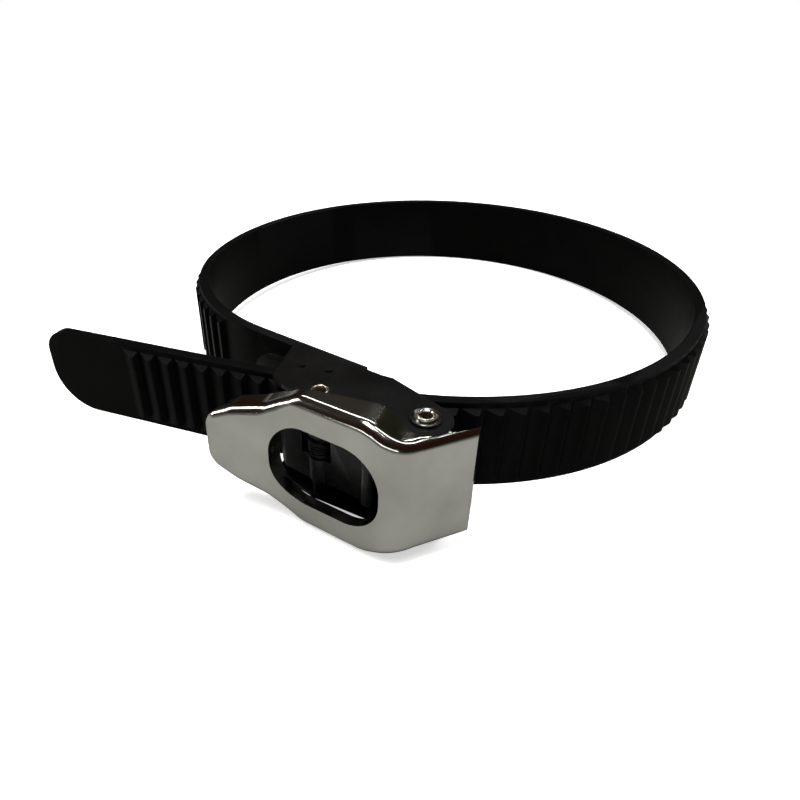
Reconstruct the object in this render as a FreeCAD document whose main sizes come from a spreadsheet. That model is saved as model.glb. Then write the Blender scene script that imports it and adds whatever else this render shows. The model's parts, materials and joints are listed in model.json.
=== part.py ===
import FreeCAD, Part
import math
import os
import Sketcher

V = FreeCAD.Vector

# Driving dimensions in millimetres and degrees.  The origin is the centre of the strap's loop
# at the middle of its width, +Z along the loop's axis, the buckle on the -Y side.
SIZES = {
    # strap
    "strap_width": 25.0,
    "strap_thickness": 3.1,
    "loop_radius": 79.6,
    "tail_length": 96.0,
    "tongue_length": 22.0,
    "tongue_upper_round": 7.0,
    "tongue_lower_round": 13.0,
    "tooth_pitch": 5.55,
    "tooth_height": 1.5,
    "tooth_flat": 1.2,
    "tooth_lean": 0.75,
    "tooth_rail": 1.45,
    "tooth_end_slope": 1.15,
    "holding_tooth_place": -20.0,
    "chord_start_angle": 190.0,
    "chord_bend_inset": 20.8,
    "chord_lean": 16.8981,
    "pad_length": 48.0,
    "pad_end_place": -2.02,
    "rivet_seat_depth": 0.9,
    # base
    "buckle_drop": 1.3,
    "strap_side_clearance": 0.3,
    "ear_thickness": 1.2,
    "floor_thickness": 1.2,
    "ear_pivot_radius": 6.4,
    "ear_pawl_radius": 4.3,
    "tongue_plate_inset": 3.0,
    "tongue_plate_place": -39.82,
    "floor_rear_place": -24.12,
    "floor_front_place": 4.48,
    "lip_length": 9.6,
    "lip_side_gap": 0.6,
    # pivots
    "pivot_place": 18.8,
    "pivot_rise": 6.4,
    "pawl_place": -8.0,
    "pawl_lift": 2.7,
    "rivet_radius": 1.9,
    "rivet_hole_radius": 1.45,
    "rivet_head_radius": 2.3,
    "rivet_head_thickness": 0.6,
    "washer_radius": 3.7,
    "washer_thickness": 0.8,
    "running_clearance": 0.05,
    "sleeve_wall": 0.85,
    "moving_gap": 0.3,
    # lever
    "lever_wall": 1.4,
    "lever_tail_radius": 9.3,
    "lever_side_gap": 2.5,
    "lever_nose_narrowing": 3.3,
    "lever_bend_radius": 3.0,
    "lever_tail_place": -36.7,
    "lever_tail_rise": 6.6,
    "lever_hip_place": -12.0,
    "lever_hip_rise": 7.6,
    "lever_hip_round": 26.0,
    "lever_brow_place": 16.2,
    "lever_brow_rise": 14.6,
    "lever_brow_round": 9.0,
    "lever_nose_place": 31.0,
    "lever_nose_rise": 0.6,
    "lever_skirt_rise": 3.1,
    "tail_skirt_rise": 0.6,
    "skirt_rear_place": -33.4,
    "skirt_full_place": -28.6,
    "skirt_step_place": -18.0,
    "skirt_level_place": -12.5,
    "skirt_front_place": 26.0,
    "lever_cutout_radius": 7.1,
    "lug_thickness": 1.6,
    "lug_pivot_radius": 4.4,
    "hole_length": 31.0,
    "hole_width": 22.6,
    "hole_collar_depth": 3.2,
    "hole_collar_wall": 1.2,
    # pawls
    "drive_pin_reach": 5.8,
    "drive_pin_angle": 74.0,
    "drive_pin_radius": 1.1,
    "drive_hub_radius": 2.0,
    "drive_pawl_side_gap": 0.6,
    "holding_pawl_side_gap": 0.55,
    "holding_hub_wall": 0.55,
    "release_arm_reach": 14.5,
    "release_arm_drop": 5.3,
    "arm_root_radius": 2.2,
    "arm_tip_radius": 1.0,
    "arm_roll_radius": 1.7,
    "arm_roll_drop": 0.7,
    "pawl_tip_gap": 0.1,
    "drive_blade_depth": 2.1,
    "drive_blade_turn": 5.8,
    "spring_notch_half": 4.0,
    "spring_wire": 0.6,
    "spring_turns": 5.0,
    "guide_pin_radius": 1.4,
    "guide_pin_rear_place": -17.3,
    "guide_pin_front_place": -9.8,
    "strap_rivet_rear_place": -22.72,
    "strap_rivet_front_place": -9.72,
    "strap_rivet_radius": 1.6,
    "strap_rivet_head_radius": 3.4,
}

# Sizes that follow from the driving ones, as sheet formulas.
DERIVED = {
    "crest_radius": "=loop_radius + strap_thickness + tooth_height",
    "chord_bend_radius": "=loop_radius - chord_bend_inset",
    "ear_gap_half": "=strap_width / 2 + buckle_drop + strap_side_clearance",
    "tongue_plate_radius": "=strap_width / 2 - tongue_plate_inset",
    "lip_half_width": "=ear_gap_half - lip_side_gap",
    "pivot_drop": "=crest_radius + pivot_rise",
    "pawl_drop": "=pivot_drop - pawl_lift",
    "lever_half_width": "=ear_gap_half + ear_thickness + lever_side_gap + lever_wall",
    "lever_nose_half_width": "=lever_half_width - lever_nose_narrowing",
    "lever_skirt_drop": "=pivot_drop + lever_skirt_rise",
    "sleeve_radius": "=rivet_radius + running_clearance + sleeve_wall",
    "drive_pawl_half_width": "=ear_gap_half - moving_gap - lug_thickness - drive_pawl_side_gap",
    "holding_pawl_half_width": "=strap_width / 2 - tooth_rail - holding_pawl_side_gap",
    "holding_hub_radius": "=sleeve_radius + running_clearance + holding_hub_wall",
    "drive_pin_x": "=pivot_place + drive_pin_reach * cos(drive_pin_angle * 1 deg)",
    "drive_pin_y": "=-pivot_drop + drive_pin_reach * sin(drive_pin_angle * 1 deg)",
    "drive_pin_distance": "=hypot(drive_pin_x; drive_pin_y)",
    "drive_pin_bearing": "=atan2(drive_pin_y; drive_pin_x) / 1 deg",
    "drive_tip_radius": "=crest_radius + moving_gap + pawl_tip_gap",
    "claw_edge_x": "=holding_tooth_place + moving_gap + pawl_tip_gap",
    "claw_edge_y": "=-loop_radius - strap_thickness - moving_gap",
    "arm_length": "=hypot(release_arm_reach; release_arm_drop)",
    "arm_bearing": "=-atan2(release_arm_drop; release_arm_reach) / 1 deg",
    "arm_spread": "=acos((arm_root_radius - arm_tip_radius) / arm_length) / 1 deg",
    "arm_tip_x": "=pawl_place + release_arm_reach",
    "arm_tip_y": "=-pawl_drop - release_arm_drop",
}

# Volume in cubic millimetres that even the smallest sub-part has more of.
SMALLEST_VOLUME = 10.0
# Half the length of a cutting tool that passes through the whole part.
THROUGH = 100.0


def size(name):
    """Read a driving dimension from the sheet."""
    return float(sheet.get(name))


def fill_sheet(document):
    """Write each driving dimension as a plain number with an alias, then the derived ones."""
    table = document.addObject("Spreadsheet::Sheet", "Sizes")
    for row, (name, value) in enumerate(list(SIZES.items()) + list(DERIVED.items()), start=1):
        table.set("A%d" % row, name)
        table.set("B%d" % row, str(value))
        table.setAlias("B%d" % row, name)
    document.recompute()
    return table


# ---------------------------------------------------------------- geometry helpers

def polar(radius, degrees, centre=(0.0, 0.0)):
    """Point at a radius and an angle about a centre."""
    turn = math.radians(degrees)
    return (centre[0] + radius * math.cos(turn), centre[1] + radius * math.sin(turn))


def flat_arc(centre, radius, start, end):
    """Arc edge in the XY plane through its middle angle."""
    middle = 0.5 * (start + end)
    points = [V(*polar(radius, angle, centre), 0) for angle in (start, middle, end)]
    return Part.Arc(*points).toShape()


def flat_line(start, end):
    """Line edge in the XY plane."""
    return Part.LineSegment(V(*start, 0), V(*end, 0)).toShape()


def rounded(points, radii):
    """Edges of an open run of lines whose inner corners are rounded to the given radii."""
    edges = []
    last = V(*points[0], 0)
    for index in range(1, len(points) - 1):
        corner = V(*points[index], 0)
        back = (V(*points[index - 1], 0) - corner).normalize()
        ahead = (V(*points[index + 1], 0) - corner).normalize()
        radius = radii[index - 1]
        if radius <= 0:
            edges.append(Part.LineSegment(last, corner).toShape())
            last = corner
            continue
        half = back.getAngle(ahead) / 2.0
        trim = radius / math.tan(half)
        middle = (back + ahead).normalize()
        first = corner + back * trim
        second = corner + ahead * trim
        bulge = corner + middle * (radius / math.sin(half) - radius)
        if (first - last).Length > 1e-6:
            edges.append(Part.LineSegment(last, first).toShape())
        edges.append(Part.Arc(first, bulge, second).toShape())
        last = second
    edges.append(Part.LineSegment(last, V(*points[-1], 0)).toShape())
    return edges


def closed_rounded(points, radii):
    """Closed wire of lines with each corner rounded; the first corner is a middle of a side."""
    start = tuple(0.5 * (a + b) for a, b in zip(points[0], points[-1]))
    edges = rounded([start] + list(points) + [start], radii)
    return Part.Wire(Part.__sortEdges__(edges))


def prism(wire, low, high):
    """Solid between two heights over a wire in the XY plane."""
    face = Part.Face(wire)
    face.translate(V(0, 0, low))
    return face.extrude(V(0, 0, high - low))


def cylinder(radius, low, high, place=(0.0, 0.0)):
    """Solid cylinder along Z between two heights."""
    return Part.makeCylinder(radius, high - low, V(place[0], place[1], low), V(0, 0, 1))


def disc_hull(first, first_radius, second, second_radius, low, high):
    """Prism over two discs and the outer tangents between them."""
    span = V(second[0] - first[0], second[1] - first[1], 0)
    along = math.degrees(math.atan2(span.y, span.x))
    spread = math.degrees(math.acos((first_radius - second_radius) / span.Length))
    corners = [
        polar(first_radius, along + spread, first),
        polar(second_radius, along + spread, second),
        polar(second_radius, along - spread, second),
        polar(first_radius, along - spread, first),
    ]
    web = prism(Part.makePolygon([V(*point, 0) for point in corners + corners[:1]]), low, high)
    ends = [cylinder(first_radius, low, high, first), cylinder(second_radius, low, high, second)]
    return web.multiFuse(ends).removeSplitter()


def finished(label, shape, drop=True):
    """Put a shape in the document as a sub-part, lowered with the buckle where it belongs to it."""
    part = doc.addObject("Part::Feature", label)
    part.Label = label
    part.Shape = shape
    if drop:
        part.setExpression("Placement.Base.z", "-Sizes.buckle_drop")
    parts.append(part)
    return part


# ---------------------------------------------------------------- document objects bound to the sheet

def polar_words(radius, degrees, centre=("0", "0")):
    """Expressions for a point at a radius and an angle about a centre, each given as expressions."""
    across = "%s + (%s) * cos((%s) * 1 deg)" % (centre[0], radius, degrees)
    up = "%s + (%s) * sin((%s) * 1 deg)" % (centre[1], radius, degrees)
    return across, up


def bound_cylinder(name, radius, low, length, place):
    """Part cylinder along Z whose sizes and place are sheet expressions."""
    item = doc.addObject("Part::Cylinder", name)
    item.setExpression("Radius", radius)
    item.setExpression("Height", length)
    item.setExpression("Placement.Base.x", place[0])
    item.setExpression("Placement.Base.y", place[1])
    item.setExpression("Placement.Base.z", low)
    return item


def bound_prism(name, points, half):
    """Extruded sketch, centred on Z = 0, whose corners are bound to sheet expressions."""
    sketch = doc.addObject("Sketcher::SketchObject", name + "_outline")
    spots = [V(*[float(sheet.evalExpression(value)) for value in point], 0) for point in points]
    count = len(spots)
    for index in range(count):
        sketch.addGeometry(Part.LineSegment(spots[index], spots[(index + 1) % count]), False)
    for index in range(count):
        sketch.addConstraint(Sketcher.Constraint("Coincident", index, 2, (index + 1) % count, 1))
    for index, point in enumerate(points):
        for axis, value, start in zip("XY", point, spots[index]):
            held = Sketcher.Constraint("Distance" + axis, -1, 1, index, 1, start)
            row = sketch.addConstraint(held)
            word = "corner_%s_%d" % (axis.lower(), index)
            sketch.renameConstraint(row, word)
            sketch.setExpression("Constraints." + word, value)
    sketch.setExpression("Placement.Base.z", "-(%s)" % half)
    block = doc.addObject("Part::Extrusion", name)
    block.Base = sketch
    block.DirMode = "Normal"
    block.Solid = True
    block.setExpression("LengthFwd", "2 * (%s)" % half)
    return block


def joined(name, pieces):
    """Fuse document objects into one."""
    whole = doc.addObject("Part::MultiFuse", name)
    whole.Shapes = pieces
    whole.Refine = True
    return whole


def cut_by(label, blank, tools, drop=True):
    """Cut a blank with each tool in turn and file the result as a sub-part."""
    for index, tool in enumerate(tools):
        cut = doc.addObject("Part::Cut", "%s_cut_%d" % (label, index))
        cut.Base = blank
        cut.Tool = tool
        cut.Refine = True
        blank = cut
    blank.Label = label
    if drop:
        blank.setExpression("Placement.Base.z", "-Sizes.buckle_drop")
    parts.append(blank)
    return blank


def formed(name, shape):
    """Blank that sketches and primitives don't fit: a shape made from the sheet's values."""
    blank = doc.addObject("Part::Feature", name)
    blank.Shape = shape
    return blank


def through_hole(name, radius, place):
    """Bound cylinder along Z that passes through the whole part."""
    return bound_cylinder(name, radius, "%f" % -THROUGH, "%f" % (2 * THROUGH), place)


def turned_part(label, steps, place, bore=None, tilt=None):
    """Rivet, pin, sleeve or washer: stepped cylinders along Z, with a bore if one is given.

    Each step is (radius, low, length) as sheet expressions; place gives X and Y expressions.
    """
    cylinders = []
    for index, (radius, low, length) in enumerate(steps):
        item = doc.addObject("Part::Cylinder", "%s_step_%d" % (label, index))
        item.setExpression("Radius", radius)
        item.setExpression("Height", length)
        item.setExpression("Placement.Base.z", low)
        cylinders.append(item)
    result = cylinders[0]
    if len(cylinders) > 1:
        result = doc.addObject("Part::MultiFuse", label + "_solid")
        result.Shapes = cylinders
        result.Refine = True
    if bore:
        hole = doc.addObject("Part::Cylinder", label + "_bore")
        hole.setExpression("Radius", bore)
        hole.Height = 2 * THROUGH
        hole.Placement.Base.z = -THROUGH
        cut = doc.addObject("Part::Cut", label + "_bored")
        cut.Base = result
        cut.Tool = hole
        result = cut
    result.Label = label
    if tilt is None:
        result.setExpression("Placement.Base.x", place[0])
        result.setExpression("Placement.Base.y", place[1])
        low = steps[0][1] if result is cylinders[0] else "0"
        result.setExpression("Placement.Base.z", "%s - Sizes.buckle_drop" % low)
    else:
        result.Placement = tilt
    parts.append(result)
    return result


# ---------------------------------------------------------------- strap

def chord_frame():
    """Centre of the bend into the chord, the chord's direction and its outward normal."""
    radius = size("loop_radius")
    bend = size("chord_bend_radius")
    centre = polar(radius - bend, size("chord_start_angle"))
    along = V(*polar(1.0, -size("chord_lean")), 0)
    outward = V(along.y, -along.x, 0)
    return centre, along, outward


def chord_offset():
    """Distance from the origin to the inner face of the chord."""
    centre, _, outward = chord_frame()
    return V(*centre, 0).dot(outward) + size("chord_bend_radius")


def chord_point(place, height):
    """Point at a height over the pad's outer face, its place measured from X = 0 along the chord."""
    _, along, outward = chord_frame()
    level = chord_offset() + size("strap_thickness") + height
    start = chord_offset() * math.tan(math.radians(size("chord_lean")))
    return along * (start + place) + outward * level


def strap_strip():
    """Plain strip: straight tail, loop, bend and chord, extruded over the strap's width."""
    radius = size("loop_radius")
    bend = size("chord_bend_radius")
    thick = size("strap_thickness")
    half = size("strap_width") / 2.0
    tail = size("tail_length")
    start = size("chord_start_angle")
    centre, _, outward = chord_frame()
    turn_end = math.degrees(math.atan2(outward.y, outward.x)) + 360.0
    pad_inner = chord_point(size("pad_end_place"), -thick)
    pad_outer = chord_point(size("pad_end_place"), 0.0)
    inner_end = polar(bend, turn_end, centre)
    outer_end = polar(bend + thick, turn_end, centre)
    edges = [
        flat_line((-tail, -radius), (0, -radius)),
        flat_arc((0, 0), radius, -90.0, start),
        flat_arc(centre, bend, start, turn_end),
        flat_line(inner_end, (pad_inner.x, pad_inner.y)),
        flat_line((pad_inner.x, pad_inner.y), (pad_outer.x, pad_outer.y)),
        flat_line((pad_outer.x, pad_outer.y), outer_end),
        flat_arc(centre, bend + thick, turn_end, start),
        flat_arc((0, 0), radius + thick, start, -90.0),
        flat_line((0, -radius - thick), (-tail, -radius - thick)),
        flat_line((-tail, -radius - thick), (-tail, -radius)),
    ]
    return prism(Part.Wire(edges), -half, half)


def outer_frame(place):
    """Point, direction and outward normal on the strap's outer face at a run from X = 0."""
    radius = size("loop_radius") + size("strap_thickness")
    start = size("chord_start_angle")
    centre, along, outward = chord_frame()
    bend = size("chord_bend_radius") + size("strap_thickness")
    loop_run = radius * math.radians(start + 90.0)
    turn_end = math.degrees(math.atan2(outward.y, outward.x)) + 360.0
    bend_run = bend * math.radians(turn_end - start)
    if place <= 0:
        return V(place, -radius, 0), V(1, 0, 0), V(0, -1, 0)
    if place <= loop_run:
        angle = -90.0 + math.degrees(place / radius)
        normal = V(*polar(1.0, angle), 0)
        return normal * radius, V(-normal.y, normal.x, 0), normal
    if place <= loop_run + bend_run:
        angle = start + math.degrees((place - loop_run) / bend)
        normal = V(*polar(1.0, angle), 0)
        return V(*centre, 0) + normal * bend, V(-normal.y, normal.x, 0), normal
    past = place - loop_run - bend_run
    corner = V(*polar(bend, turn_end, centre), 0)
    return corner + along * past, along, outward


def strap_run():
    """Run of the outer face from X = 0 to the end of the pad."""
    radius = size("loop_radius") + size("strap_thickness")
    centre, along, outward = chord_frame()
    bend = size("chord_bend_radius") + size("strap_thickness")
    start = size("chord_start_angle")
    turn_end = math.degrees(math.atan2(outward.y, outward.x)) + 360.0
    corner = V(*polar(bend, turn_end, centre), 0)
    end = chord_point(size("pad_end_place"), 0.0)
    arcs = radius * math.radians(start + 90.0) + bend * math.radians(turn_end - start)
    return arcs + (end - corner).dot(along)


def tooth_points(place, raise_by):
    """Section of one tooth: gentle ramp, narrow flat crest, leaning steep face towards the loop."""
    pitch = size("tooth_pitch")
    lean = size("tooth_lean")
    flat = size("tooth_flat")
    point, along, normal = outer_frame(place)
    root = -0.4
    run = pitch - lean - flat - 0.7
    outline = [(0.0, root), (0.0, 0.0), (-lean, raise_by), (-lean - flat, raise_by)]
    outline += [(-lean - flat - run, 0.0), (-lean - flat - run, root)]
    return [point + along * across + normal * up for across, up in outline]


def tooth(place):
    """One tooth whose two ends slope down to the rails."""
    half = size("strap_width") / 2.0 - size("tooth_rail")
    crest_half = half - size("tooth_end_slope")
    height = size("tooth_height")
    section = tooth_points(place, height)
    low = [point + V(0, 0, -half) for point in section]
    high = [point + V(0, 0, half) for point in section]
    for index in (2, 3):
        low[index] = section[index] + V(0, 0, -crest_half)
        high[index] = section[index] + V(0, 0, crest_half)
    faces = []
    for index in range(6):
        after = (index + 1) % 6
        loop = [low[index], low[after], high[after], high[index], low[index]]
        faces.append(Part.Face(Part.makePolygon(loop)))
    for side in (low, high):
        faces.append(Part.Face(Part.makePolygon([side[0], side[1], side[4], side[5], side[0]])))
        faces.append(Part.Face(Part.makePolygon([side[1], side[2], side[3], side[4], side[1]])))
    solid = Part.makeSolid(Part.makeShell(faces))
    if solid.Volume < 0:
        solid.reverse()
    return solid


def tooth_places():
    """Steep-face places of every tooth, from the tongue to the start of the smooth pad."""
    pitch = size("tooth_pitch")
    first = -size("tail_length") + size("tongue_length") + pitch
    last = strap_run() - size("pad_length")
    anchor = size("holding_tooth_place")
    start = anchor - pitch * math.floor((anchor - first) / pitch)
    count = int((last - start) / pitch)
    return [start + pitch * index for index in range(count + 1)]


def tongue_outline():
    """Block that keeps the strap inside the tongue's rounded end."""
    half = size("strap_width") / 2.0
    tail = size("tail_length")
    far = 2 * THROUGH
    points = [(-tail, half), (-tail, -half), (far, -half), (far, half)]
    radii = [size("tongue_upper_round"), size("tongue_lower_round"), 0.0, 0.0]
    outline = prism(closed_rounded(points, radii), 0.0, far)
    outline.rotate(V(0, 0, 0), V(1, 0, 0), 90.0)
    return outline


def chord_placement(place, height):
    """Placement whose +Z points out of the pad's outer face at a distance along the chord."""
    outward = chord_frame()[2]
    spot = chord_point(place, height) + V(0, 0, -size("buckle_drop"))
    return FreeCAD.Placement(spot, FreeCAD.Rotation(V(0, 0, 1), outward))


def make_strap():
    """Strap with its row of teeth, the rounded tongue and the rivet seats in the pad."""
    strip = strap_strip()
    teeth = [tooth(place) for place in tooth_places()]
    strap = strip.multiFuse(teeth)
    thick = size("strap_thickness")
    width = size("strap_width")
    corner = V(-size("tail_length") - thick, -size("loop_radius") - 2 * thick, -width)
    tail_zone = Part.makeBox(size("tongue_length") + thick, 4 * thick, 2 * width, corner)
    blank = formed("strap_blank", strap.cut(tail_zone.cut(tongue_outline())))
    tools = []
    for end in ("rear", "front"):
        place = chord_placement(size("strap_rivet_%s_place" % end), -2 * thick)
        tools.append(tilted_cylinder("strap_shank_" + end, "Sizes.strap_rivet_radius",
                                     "3 * Sizes.strap_thickness", place))
        tools.append(tilted_cylinder("strap_seat_" + end,
                                     "Sizes.strap_rivet_head_radius + 2 * Sizes.running_clearance",
                                     "Sizes.rivet_seat_depth + Sizes.strap_thickness", place))
    return cut_by("ladder_strap", blank, tools, drop=False)


def tilted_cylinder(name, radius, length, place):
    """Part cylinder with bound sizes, standing at a placement on the pad."""
    item = doc.addObject("Part::Cylinder", name)
    item.setExpression("Radius", radius)
    item.setExpression("Height", length)
    item.Placement = place
    return item


# ---------------------------------------------------------------- base

def pivot():
    """Main pivot's axis in XY."""
    return (size("pivot_place"), -size("pivot_drop"))


def pawl_pivot():
    """Holding pawl's axis in XY."""
    return (size("pawl_place"), -size("pawl_drop"))


def ear_wire():
    """Outline of one ear: from the floor, round the pawl rivet and the main pivot, to the lip."""
    left = chord_point(size("floor_rear_place"), 0.0)
    lip = lip_points()
    main = pivot()
    pawl = pawl_pivot()
    radius = size("ear_pivot_radius")
    small = size("ear_pawl_radius")
    shoulder = (pawl[0] - 10.0, pawl[1] - 0.4)
    points = [(left.x, left.y), (left.x + 2.0, pawl[1] + 2.6), shoulder, polar(small, -125.0, pawl)]
    points += [polar(small, -90.0, pawl), polar(radius, -100.0, main)]
    edges = rounded(points[:4], [2.0, 2.0])
    edges.append(flat_arc(pawl, small, -125.0, -90.0))
    edges.append(flat_line(points[4], points[5]))
    edges.append(flat_arc(main, radius, -100.0, 58.0))
    edges.append(flat_line(polar(radius, 58.0, main), lip[1]))
    edges.append(flat_line(lip[1], lip[0]))
    edges.append(flat_line(lip[0], points[0]))
    return Part.Wire(Part.__sortEdges__(edges))


def lip_points():
    """Two points on the pad side of the floor: its bend and a place on the front lip."""
    bend = chord_point(size("floor_front_place"), 0.0)
    return [(bend.x, bend.y), (bend.x + 3.2, bend.y - 0.48)]


def make_base():
    """Pressed base: floor on the pad with a rounded tongue, bent front lip and two ears."""
    thick = size("floor_thickness")
    ear = size("ear_thickness")
    inner = size("ear_gap_half")
    outer = inner + ear
    tongue = size("tongue_plate_place")
    radius = size("tongue_plate_radius")
    rear = size("floor_rear_place")
    front = size("floor_front_place")
    along = chord_frame()[1]
    bend = chord_point(size("floor_front_place"), 0.0)
    lean = math.atan2(along.y, along.x)
    ring = [(front, outer), (rear, outer), (rear - 1.0, radius), (tongue, radius)]
    ring += [(x, -z) for x, z in reversed(ring)]
    ring_radii = [0.0, 1.0, 3.0, radius - 0.01]
    ring_radii += reversed(ring_radii)
    floor = prism(closed_rounded(ring, ring_radii), 0.0, thick)
    floor.rotate(V(0, 0, 0), V(1, 0, 0), 90.0)
    floor.rotate(V(0, 0, 0), V(0, 0, 1), math.degrees(lean))
    floor.translate(chord_point(0.0, 0.0))
    lip_line = lip_points()
    lip_dir = V(lip_line[1][0] - lip_line[0][0], lip_line[1][1] - lip_line[0][1], 0).normalize()
    lip_out = V(lip_dir.y, -lip_dir.x, 0)
    half = size("lip_half_width")
    tip = [V(bend.x, bend.y, 0) + lip_dir * step for step in (-0.5 * thick, size("lip_length"))]
    section = [tip[0], tip[1], tip[1] + lip_out * thick, tip[0] + lip_out * thick]
    lip = prism(Part.makePolygon(section + section[:1]), -half, half)
    corner_edges = [edge for edge in lip.Edges
                    if abs(edge.Length - thick) < 1e-3 and edge.CenterOfMass.x > tip[0].x + 2.0]
    lip = lip.makeFillet(3.0, corner_edges)
    ears = [prism(ear_wire(), inner, outer), prism(ear_wire(), -outer, -inner)]
    base = floor.multiFuse([lip] + ears)
    blank = formed("base_blank", base.removeSplitter())
    level = "-Sizes.loop_radius + Sizes.guide_pin_radius + 0.1"
    tools = [
        through_hole("base_main_hole", "Sizes.rivet_radius", ("Sizes.pivot_place", "-Sizes.pivot_drop")),
        through_hole("base_pawl_hole", "Sizes.rivet_radius", ("Sizes.pawl_place", "-Sizes.pawl_drop")),
    ]
    for end in ("rear", "front"):
        spot = ("Sizes.guide_pin_%s_place" % end, level)
        tools.append(through_hole("base_pin_hole_" + end, "Sizes.guide_pin_radius", spot))
        place = chord_placement(size("strap_rivet_%s_place" % end), -2 * thick)
        place.Base.z += size("buckle_drop")
        tools.append(tilted_cylinder("base_rivet_hole_" + end, "Sizes.strap_rivet_radius",
                                     "5 * Sizes.floor_thickness", place))
    return cut_by("base_frame", blank, tools)


# ---------------------------------------------------------------- lever

def lever_front(offset):
    """Front profile of the lever in XY, moved inwards by offset: tail, hump and nose."""
    drop = size("pivot_drop")
    corners = []
    for name in ("tail", "hip", "brow", "nose"):
        rise = size("lever_%s_rise" % name)
        corners.append(V(size("lever_%s_place" % name), -drop - rise, 0))
    sides = []
    for first, second in zip(corners, corners[1:]):
        along = (second - first).normalize()
        inward = V(-along.y, along.x, 0)
        sides.append((first + inward * offset, second + inward * offset, along))
    points = [sides[0][0]]
    for first, second in zip(sides, sides[1:]):
        points.append(meet(first[0], first[2], second[0], second[2]))
    points.append(sides[-1][1])
    return points


def meet(first, first_way, second, second_way):
    """Meeting point of two lines in the XY plane."""
    across = V(-second_way.y, second_way.x, 0)
    step = (second - first).dot(across) / first_way.dot(across)
    return first + first_way * step


def front_edges(offset):
    """Edges of the front profile with its hip and brow rounded."""
    points = [(point.x, point.y) for point in lever_front(offset)]
    return rounded(points, [size("lever_hip_round") + offset, size("lever_brow_round") - offset])


def lever_profile(offset, back):
    """Closed side profile between the front faces and a straight back edge."""
    points = [(point.x, point.y) for point in lever_front(offset)]
    edges = front_edges(offset)
    run = [points[-1], (points[-1][0], back), (points[0][0], back), points[0]]
    for first, second in zip(run, run[1:]):
        edges.append(flat_line(first, second))
    return Part.Wire(Part.__sortEdges__(edges))


def lever_trim():
    """Block behind the lever's back edge: level skirts, deeper near the tail and ending before it."""
    plate = lever_front(size("lever_wall"))
    skirt = -size("lever_skirt_drop")
    nose = plate[-1]
    beyond = nose + (nose - plate[2]).normalize() * 20.0
    points = [(-THROUGH, plate[0].y), (size("skirt_rear_place"), plate[0].y)]
    deep = -size("pivot_drop") - size("tail_skirt_rise")
    points += [(size("skirt_full_place"), deep), (size("skirt_step_place"), deep)]
    points += [(size("skirt_level_place"), skirt), (size("skirt_front_place"), skirt)]
    points += [(nose.x, nose.y), (beyond.x, beyond.y), (beyond.x, 0.0), (-THROUGH, 0.0)]
    wire = Part.makePolygon([V(*point, 0) for point in points + points[:1]])
    return prism(wire, -THROUGH, THROUGH)


def lever_outline(offset):
    """Closed front outline in XZ: round tail, flaring sides, hump and narrower nose."""
    half = size("lever_half_width") - offset
    nose = size("lever_nose_half_width") - offset
    tail = size("lever_tail_radius") - offset
    tail_x = size("lever_tail_place") + offset
    nose_x = size("lever_nose_place") + 0.5
    points = [(nose_x, nose), (17.0, nose), (9.0, half), (-10.0, half), (-19.5, tail + 4.6)]
    points += [(-28.5, tail + 2.2), (tail_x, tail - 1.8)]
    mirrored = [(x, -z) for x, z in reversed(points)]
    radii = [0.0, 12.0, 12.0, 8.0, 10.0, 14.0, tail - 3.2]
    ring = points + mirrored
    ring_radii = radii + list(reversed(radii))
    return closed_rounded(ring, ring_radii)


def lever_block(offset, back, fillet):
    """Solid of the lever's outside or inside, its front edges bent round."""
    side = prism(lever_profile(offset, back), -THROUGH, THROUGH)
    front = prism(lever_outline(offset), 0.0, 2 * THROUGH)
    front.rotate(V(0, 0, 0), V(1, 0, 0), 90.0)
    block = side.common(front).removeSplitter()
    chosen = [edge for edge in block.Edges if is_bend(edge, offset)]
    return block.makeFillet(fillet, chosen)


def is_bend(edge, offset):
    """True for the edges between the front faces and the side walls."""
    front = lever_front(offset)
    middle = edge.valueAt(0.5 * (edge.FirstParameter + edge.LastParameter))
    if middle.x > front[-1].x - 0.05:
        return False
    profile = Part.Wire(front_edges(offset))
    gap = profile.distToShape(Part.Vertex(V(middle.x, middle.y, 0)))[0]
    ends = edge.Vertexes
    vertical = abs(ends[0].Z - ends[-1].Z) > 0.98 * edge.Length
    return gap < 0.02 and not (vertical and middle.x > 0)


def hole_tool(grow, low, high):
    """Slot-shaped prism square to the hump plate, for the finger hole and its collar."""
    front = lever_front(0.0)
    along = (front[2] - front[1]).normalize()
    inward = V(-along.y, along.x, 0)
    middle = front[1] + along * 9.7
    length = size("hole_length") + 2 * grow
    width = size("hole_width") + 2 * grow
    points = [(-length / 2, -width / 2), (length / 2, -width / 2)]
    points += [(length / 2, width / 2), (-length / 2, width / 2)]
    radius = width / 2 - 1.2
    slot = prism(closed_rounded(points, [radius] * 4), low, high)
    turn = FreeCAD.Rotation(along, V(0, 0, 0), inward, "XZY")
    slot.Placement = FreeCAD.Placement(middle, turn)
    return slot


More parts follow.
